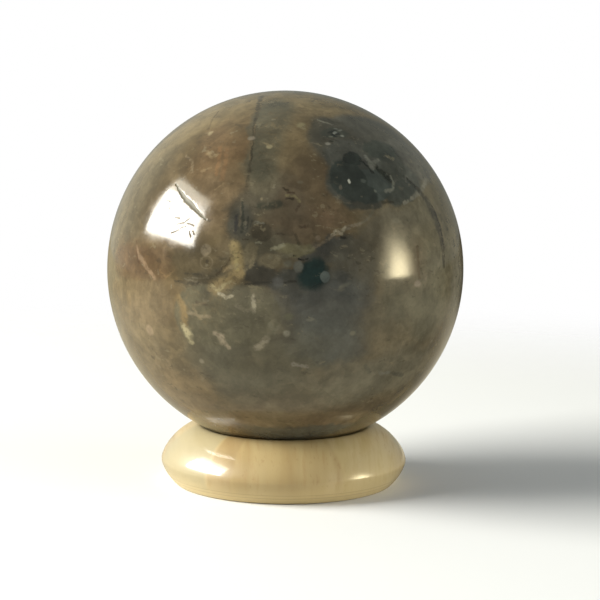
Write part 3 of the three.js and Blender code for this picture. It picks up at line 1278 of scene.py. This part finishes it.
@dataclass(frozen=True)
class WoodFinish:
    """Pale wood with broad soft bands, grain and pores under clear gloss lacquer, with upright bands of
    painted reflection over its front and painted bounce light toward its foot.
    """

    bands: tuple[tuple[float, Tint], ...] = (
        (0.36, Tint(170, 148, 104)),
        (0.46, Tint(182, 162, 118)),
        (0.52, Tint(190, 171, 130)),
        (0.64, Tint(198, 181, 142)),
    )
    # Each upright stripe is a painted reflection of the room in the lacquer, shown on the front only: where
    # it starts and ends, as turns in degrees, its tint and its strength. The cream one at the left is a
    # painted highlight.
    reflected_stripes: tuple[tuple[float, float, Tint, float], ...] = (
        (-80, -38, Tint(168, 157, 124), 0.85),
        (-37, -24.5, Tint(158, 134, 94), 0.6),
        (-8, 2, Tint(180, 158, 112), 0.35),
        (25, 27.5, Tint(164, 140, 96), 0.3),
        (28, 62, Tint(196, 180, 134), 0.4),
    )
    reflected_stripe_softness: float = 0.02
    grain_tint: Tint = Tint(168, 138, 90)
    pore_tint: Tint = Tint(150, 118, 74)
    # The tint of the painted bounce light that turns the wood paler toward the foot.
    painted_bounce_tint: Tint = Tint(238, 220, 172)
    line_tint: Tint = Tint(138, 112, 70)
    board: Place = ((0.0, -0.09, 0.02), (0.05, 0.0, 0.12), (0.01, 0.1, 0.05))
    pore_place: Place = (ORIGIN, (0.0, 0.0, 0.12), (0.001, 0.006, 0.002))
    edges: Edges = ((90.0, 0.6 * MM),)
    # How high above the table the painted bounce light reaches.
    painted_bounce_below: float = 5.5 * MM
    turned_lines: tuple[float, ...] = (1.5 * MM, 2.3 * MM)
    line_softness: float = 0.14 * MM
    line_share: float = 0.3
    line_depth: float = 0.1 * MM
    gloss: Span = (0.34, 0.46)
    worn_run: Span = (9.5 * MM, 11.5 * MM)
    worn_coat: Span = (1.0, 0.35)
    coat_roughness: float = 0.11
    coat_refraction: float = 1.5

    def build(self) -> bpy.types.Material:
        """Makes the material.

        Returns:
            The material.
        """
        tree = ShaderTree(bpy.data.materials.new("lacquered_maple"))
        place = tree.node("TexCoord").outputs["Object"]
        board = tree.placed(place, *self.board)
        bands = tree.grey_noise(board, 1.1, detail=3.0, roughness=0.5, twist=0.3)
        colour = tree.ramp(bands, self.bands)
        grain = tree.grey_noise(board, 9.0, detail=5.0, roughness=0.6)
        colour = tree.mix(grain.eased(0.5, 0.66) * 0.35, colour, self.grain_tint.linear())
        pores = tree.grey_noise(tree.placed(place, *self.pore_place), 1.6)
        colour = tree.mix(pores.eased(0.6, 0.7) * 0.3, colour, self.pore_tint.linear())
        colour = self._painted_reflections(tree, colour, tree.torn(place, self.edges))
        level = tree.parts(place)[2]
        # Painted bounce light from the table: the wood is laid paler toward the foot.
        colour = tree.mix(level.eased(self.painted_bounce_below, 0.0) * 0.8, colour, self.painted_bounce_tint.linear())
        lines, height = self._turned(level)
        colour = tree.mix(lines * 0.35, colour, self.line_tint.linear())
        surface = {
            "Base Color": colour,
            "Roughness": grain.eased(0.3, 0.7, *self.gloss),
            "Coat Weight": level.eased(*self.worn_run, *self.worn_coat),
            "Coat Roughness": self.coat_roughness,
            "Coat IOR": self.coat_refraction,
            "Normal": tree.bumped(height, self.line_share, self.line_depth),
        }
        return tree.finish(surface)

    def _painted_reflections(self, tree: ShaderTree, colour: Socket, place: Socket) -> Socket:
        """Lays the broad upright bands of painted reflection over the front of the ring; the cream one at the
        left is a painted highlight.

        Args:
            tree: The wood's shader.
            colour: The colour under them.
            place: The point on the ring.

        Returns:
            The colour with them.
        """
        outward = tree.vector("NORMALIZE", tree.vector("MULTIPLY", place, (1.0, 1.0, 0.0)))
        side = tree.length("DOT_PRODUCT", outward, tuple(heading(90, 0)))
        front = tree.length("DOT_PRODUCT", outward, tuple(heading(0, 0))).eased(0.0, 0.2)
        soft = self.reflected_stripe_softness
        for first, last, tint, strength in self.reflected_stripes:
            start, end = math.sin(math.radians(first)), math.sin(math.radians(last))
            shown = side.eased(start - soft, start + soft) * side.eased(end + soft, end - soft)
            colour = tree.mix(shown * front * strength, colour, tint.linear())
        return colour

    def _turned(self, level: Signal) -> tuple[Signal, Signal]:
        """Gives the fine lines that the lathe left just above the foot.

        Args:
            level: The height above the table.

        Returns:
            How much of a line shows, and the height of the surface.
        """
        lines = None
        for line in self.turned_lines:
            shown = (level - line).size().eased(self.line_softness, 0.0)
            lines = shown if lines is None else lines.most(shown)
        return lines, 1.0 - lines


@dataclass
class RingStand:
    """The turned ring. Its section is a plump lozenge whose underside is cut flat."""

    node: str = "ring_stand"
    hole_radius: float = 11.2 * MM
    half_height: float = 7.9 * MM
    foot_depth: float = 5.2 * MM
    power: float = 1.55
    foot_softness: float = 0.5 * MM
    foot_steps: int = 4
    section_points: int = 96
    turns: int = 192
    outer_radius: float = field(init=False)

    def __post_init__(self) -> None:
        """Takes the ring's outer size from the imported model."""
        low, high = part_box(self.node)
        self.outer_radius = (high.x - low.x) / 2

    def _section_point(self, share: float) -> Triple:
        """Gives a point of the section, from the foot's outer edge over the crest to its inner edge.

        Args:
            share: How far round it is, from 0 to 1.

        Returns:
            The point, in the XZ plane.
        """
        foot_angle = math.asin((self.foot_depth / self.half_height) ** (self.power / 2))
        angle = -foot_angle + share * (math.pi + 2 * foot_angle)
        middle = (self.outer_radius + self.hole_radius) / 2
        half_width = (self.outer_radius - self.hole_radius) / 2
        swell = 2 / self.power
        across = math.copysign(abs(math.cos(angle)) ** swell, math.cos(angle))
        up = math.copysign(abs(math.sin(angle)) ** swell, math.sin(angle))
        return middle + half_width * across, 0.0, self.foot_depth + self.half_height * up

    def build(self) -> bpy.types.Object:
        """Models and dresses the ring.

        Returns:
            The finished piece.
        """
        bpy.ops.object.select_all(action="DESELECT")
        bpy.ops.mesh.primitive_circle_add(vertices=self.section_points, radius=self.half_height)
        ring = bpy.context.object
        ring.name = "turned_ring"
        last = self.section_points - 1
        for vertex in ring.data.vertices:
            vertex.co = self._section_point(vertex.index / last)
        select_points(ring, lambda vertex: vertex.index in (0, last))
        self._turn()
        bpy.ops.object.shade_smooth()
        hand_over(ring, self.node, WoodFinish().build())
        return ring

    def _turn(self) -> None:
        """Softens the section's two foot corners and spins it round the axis."""
        bpy.ops.object.mode_set(mode="EDIT")
        bpy.ops.mesh.bevel(affect="VERTICES", offset=self.foot_softness, segments=self.foot_steps)
        bpy.ops.mesh.select_all(action="SELECT")
        bpy.ops.mesh.spin(steps=self.turns, angle=2 * math.pi, center=(0, 0, 0), axis=(0, 0, 1))
        bpy.ops.mesh.select_all(action="SELECT")
        bpy.ops.mesh.remove_doubles(threshold=MM / 1000)
        bpy.ops.mesh.normals_make_consistent(inside=False)
        bpy.ops.object.mode_set(mode="OBJECT")


# --------------------------------------------------------------------------------------------------
# The studio
# --------------------------------------------------------------------------------------------------


@dataclass(frozen=True)
class Panel:
    """An upright panel of light that faces the ornament's axis."""

    name: str
    turn: float
    distance: float
    low: float
    high: float
    width: float
    radiance: float
    tint: Tint
    mirrored: bool = True
    roll: float = 0.0

    # The power of an area light for each unit of its radiance and of its area.
    POWER = 4.0

    def build(self, level: float) -> bpy.types.Object:
        """Places the light.

        Args:
            level: The height from which low and high are counted.

        Returns:
            The light.
        """
        light = bpy.data.lights.new(self.name, "AREA")
        light.shape = "RECTANGLE"
        light.size = self.width
        light.size_y = self.high - self.low
        light.energy = self.POWER * self.radiance * light.size * light.size_y
        light.color = self.tint.linear()[:3]
        lamp = bpy.data.objects.new(self.name, light)
        bpy.context.scene.collection.objects.link(lamp)
        lamp.location = heading(self.turn, 0) * self.distance
        lamp.location.z = level + (self.low + self.high) / 2
        lamp.rotation_euler = (math.pi / 2, 0, math.radians(self.turn))
        lamp.rotation_euler.rotate_axis("Z", math.radians(self.roll))
        lamp.visible_glossy = self.mirrored
        return lamp


@dataclass(frozen=True)
class Room:
    """What surrounds the table: a dim room, paler behind, with one warm lamp low at the right, and the table,
    with the ball's shadow painted into it to the right and behind.
    """

    dark: Tint = Tint(104, 106, 105)
    behind_left: Tint = Tint(196, 197, 186)
    behind_right: Tint = Tint(122, 126, 122)
    table_left: Tint = Tint(240, 232, 210)
    # To the right, and darkest behind to the right, the table is painted darker: the ball's shadow, painted
    # in.
    table_right_in_shadow: Tint = Tint(150, 148, 138)
    table_behind_left: Tint = Tint(190, 180, 150)
    table_behind_right_in_shadow: Tint = Tint(66, 66, 60)
    lamp_tint: Tint = Tint(255, 240, 196)
    lamp_turn: float = 76.0
    lamp_rise: float = 1.0
    lamp_width: float = 9.5
    lamp_height: float = 15.0
    lamp_radiance: float = 19.0
    lamp_softness: float = 0.75
    core_share: float = 0.55
    core_width: float = 6.5
    core_height: float = 9.5
    core_shift: float = 1.0
    right_run: Span = (-0.5, 0.25)
    back_run: Span = (-0.1, 0.6)
    horizon: float = -0.058
    horizon_lift: float = 0.022
    horizon_softness: float = 0.004

    def build(self) -> bpy.types.World:
        """Makes the world: plain white where the camera looks past the ornament, and the room elsewhere.

        Returns:
            The world.
        """
        tree = ShaderTree(bpy.data.worlds.new("room"))
        direction = tree.node("TexCoord").outputs["Generated"]
        right, back, up = tree.parts(direction)
        to_right = right.eased(*self.right_run)
        to_back = back.eased(*self.back_run)
        behind = tree.mix(to_right, self.behind_left.linear(), self.behind_right.linear())
        walls = tree.mix(to_back, self.dark.linear(), behind)
        lit_walls = tree.mix(self._lamp(tree, direction), walls, self._lamp_light(), "ADD")
        # The table, darker to the right and behind where the ball's shadow is painted in.
        table_near = tree.mix(to_right, self.table_left.linear(), self.table_right_in_shadow.linear())
        table_far = tree.mix(to_right, self.table_behind_left.linear(), self.table_behind_right_in_shadow.linear())
        table = tree.mix(to_back, table_near, table_far)
        height = up - right * self.horizon_lift
        above = height.eased(self.horizon - self.horizon_softness, self.horizon + self.horizon_softness)
        seen = tree.mix(above, table, lit_walls)
        shown = tree.mix(tree.camera_ray(), seen, (1.0, 1.0, 1.0, 1.0))
        sky = tree.node("Background", {}, {"Color": shown})
        tree.node("OutputWorld", {}, {"Surface": sky.outputs["Background"]})
        return tree.owner

    def _lamp(self, tree: ShaderTree, point: Socket) -> Signal:
        """Gives how much of the lamp shows in a direction.

        Args:
            tree: The world's nodes.
            point: The direction.

        Returns:
            A number from 0 to 1.
        """
        soft = {"tint": self.lamp_tint, "edge": self.lamp_softness}
        glow = Patch(self.lamp_turn, self.lamp_rise, self.lamp_width, self.lamp_height, **soft)
        turn, rise = self.lamp_turn + self.core_shift, self.lamp_rise - self.core_shift
        core = Patch(turn, rise, self.core_width, self.core_height, **soft)
        return glow.mask(tree, point) * (1.0 - self.core_share) + core.mask(tree, point) * self.core_share

    def _lamp_light(self) -> Light:
        """Gives the lamp's light, brighter than any colour."""
        return (*(channel * self.lamp_radiance for channel in self.lamp_tint.linear()[:3]), 1.0)


@dataclass
class Studio:
    """The pale table, the window, the dim room and the camera."""

    centre: Vector
    floor_radius: float = 0.3
    floor_fade: float = 0.13
    floor_tint: Tint = Tint(230, 232, 234)
    floor_mirrored: Tint = Tint(186, 180, 164)
    floor_roughness: float = 0.8
    floor_sides: int = 128
    camera_distance: float = 0.48
    camera_rise: float = 7.0
    aim_down: float = 0.834
    aim_right: float = 0.403
    roll: float = 0.6
    lens: float = 127.8
    sensor_width: float = 36.0
    panels: tuple[Panel, ...] = (
        Panel("window", -84.0, 1.0, 0.26, 0.7, 0.8, 22.0, Tint(255, 252, 242), roll=3.0),
        Panel("window_top", -84.0, 1.0, 0.7, 0.87, 0.8, 6.5, Tint(255, 250, 232), roll=3.0),
        Panel("fill", 62.0, 1.0, 0.0, 0.8, 1.0, 1.6, Tint(236, 244, 255), mirrored=False),
    )

    def build(self) -> None:
        """Builds all of it."""
        self._view()
        self._floor()
        bpy.context.scene.world = Room().build()
        for panel in self.panels:
            panel.build(self.centre.z)

    def _view(self) -> None:
        """Places the camera and sets how light is shown."""
        camera = bpy.data.cameras.new("camera")
        camera.lens = self.lens
        camera.sensor_width = self.sensor_width
        eye = bpy.data.objects.new("camera", camera)
        bpy.context.scene.collection.objects.link(eye)
        eye.location = self.centre + heading(0, self.camera_rise) * self.camera_distance
        pitch = 90 - self.camera_rise - self.aim_down
        eye.rotation_euler = Euler((math.radians(pitch), 0, math.radians(-self.aim_right)))
        eye.rotation_euler.rotate_axis("Z", math.radians(self.roll))
        bpy.context.scene.camera = eye
        bpy.context.scene.view_settings.view_transform = "Standard"

    def _floor(self) -> None:
        """Lays the pale table top, which fades into the white round it."""
        bpy.ops.object.select_all(action="DESELECT")
        size = {"vertices": self.floor_sides, "radius": self.floor_radius}
        bpy.ops.mesh.primitive_circle_add(fill_type="NGON", **size)
        floor = bpy.context.object
        floor.name = "table_top"
        tree = ShaderTree(bpy.data.materials.new("pale_table"))
        away = tree.length("LENGTH", tree.node("TexCoord").outputs["Object"])
        shown = away.eased(self.floor_radius, self.floor_fade)
        colour = tree.mix(tree.camera_ray(), self.floor_mirrored.linear(), self.floor_tint.linear())
        surface = {"Base Color": colour, "Roughness": self.floor_roughness, "Alpha": shown}
        floor.data.materials.append(tree.finish(surface))


def main() -> None:
    """Builds the ornament and the studio round it."""
    logging.basicConfig(level=logging.INFO, format="%(message)s")
    ball = StoneBall()
    ring = RingStand()
    for piece in (ball, ring):
        LOG.info("%s is done", piece.build().name)
    Studio(ball.centre).build()


if __name__ == "__main__":
    main()
